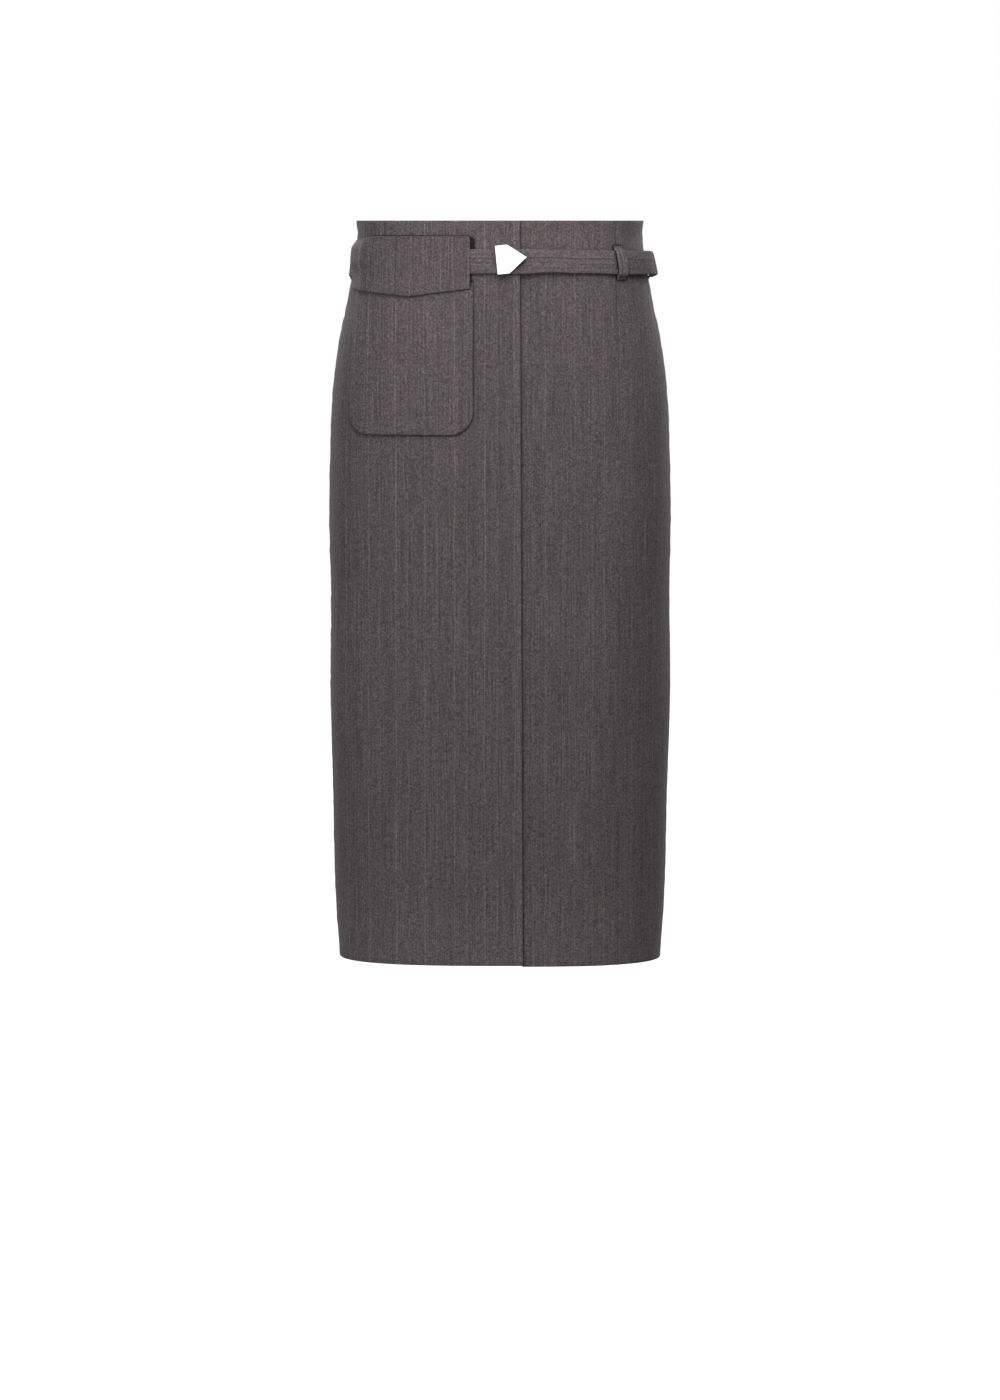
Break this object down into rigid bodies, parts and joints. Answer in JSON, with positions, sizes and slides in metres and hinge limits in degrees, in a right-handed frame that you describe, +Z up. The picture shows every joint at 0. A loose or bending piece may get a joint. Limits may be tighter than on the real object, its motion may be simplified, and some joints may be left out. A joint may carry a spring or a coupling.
{
  "type": "wrap skirt",
  "caption": "Straight midi wrap skirt with an overlapping front, a patch pocket with a flap, and a self-fabric belt with a metal plate, filled out as worn.",
  "frame": {"origin": "middle of the waist opening at the height of the belt, where a wearer holds the skirt up", "axes": "+Z up, -Y towards the front of the skirt, +X towards the right as seen from the front"},
  "size_m": [0.3582, 0.2306, 0.7734],
  "materials": {
    "suiting": "fine pinstriped wool twill",
    "belting": "the same twill, doubled and pressed",
    "plate": "polished"
  },
  "bodies": {
    "root": {"front_wrap": "suiting", "front_under": "suiting", "back": "suiting", "pocket": "suiting", "pocket_flap": "suiting", "belt": "belting", "belt_loop_front": "belting", "belt_loop_right": "belting", "belt_loop_left": "belting", "belt_loop_back_right": "belting", "belt_loop_back_left": "belting", "belt_plate": "plate"}
  },
  "joints": []
}
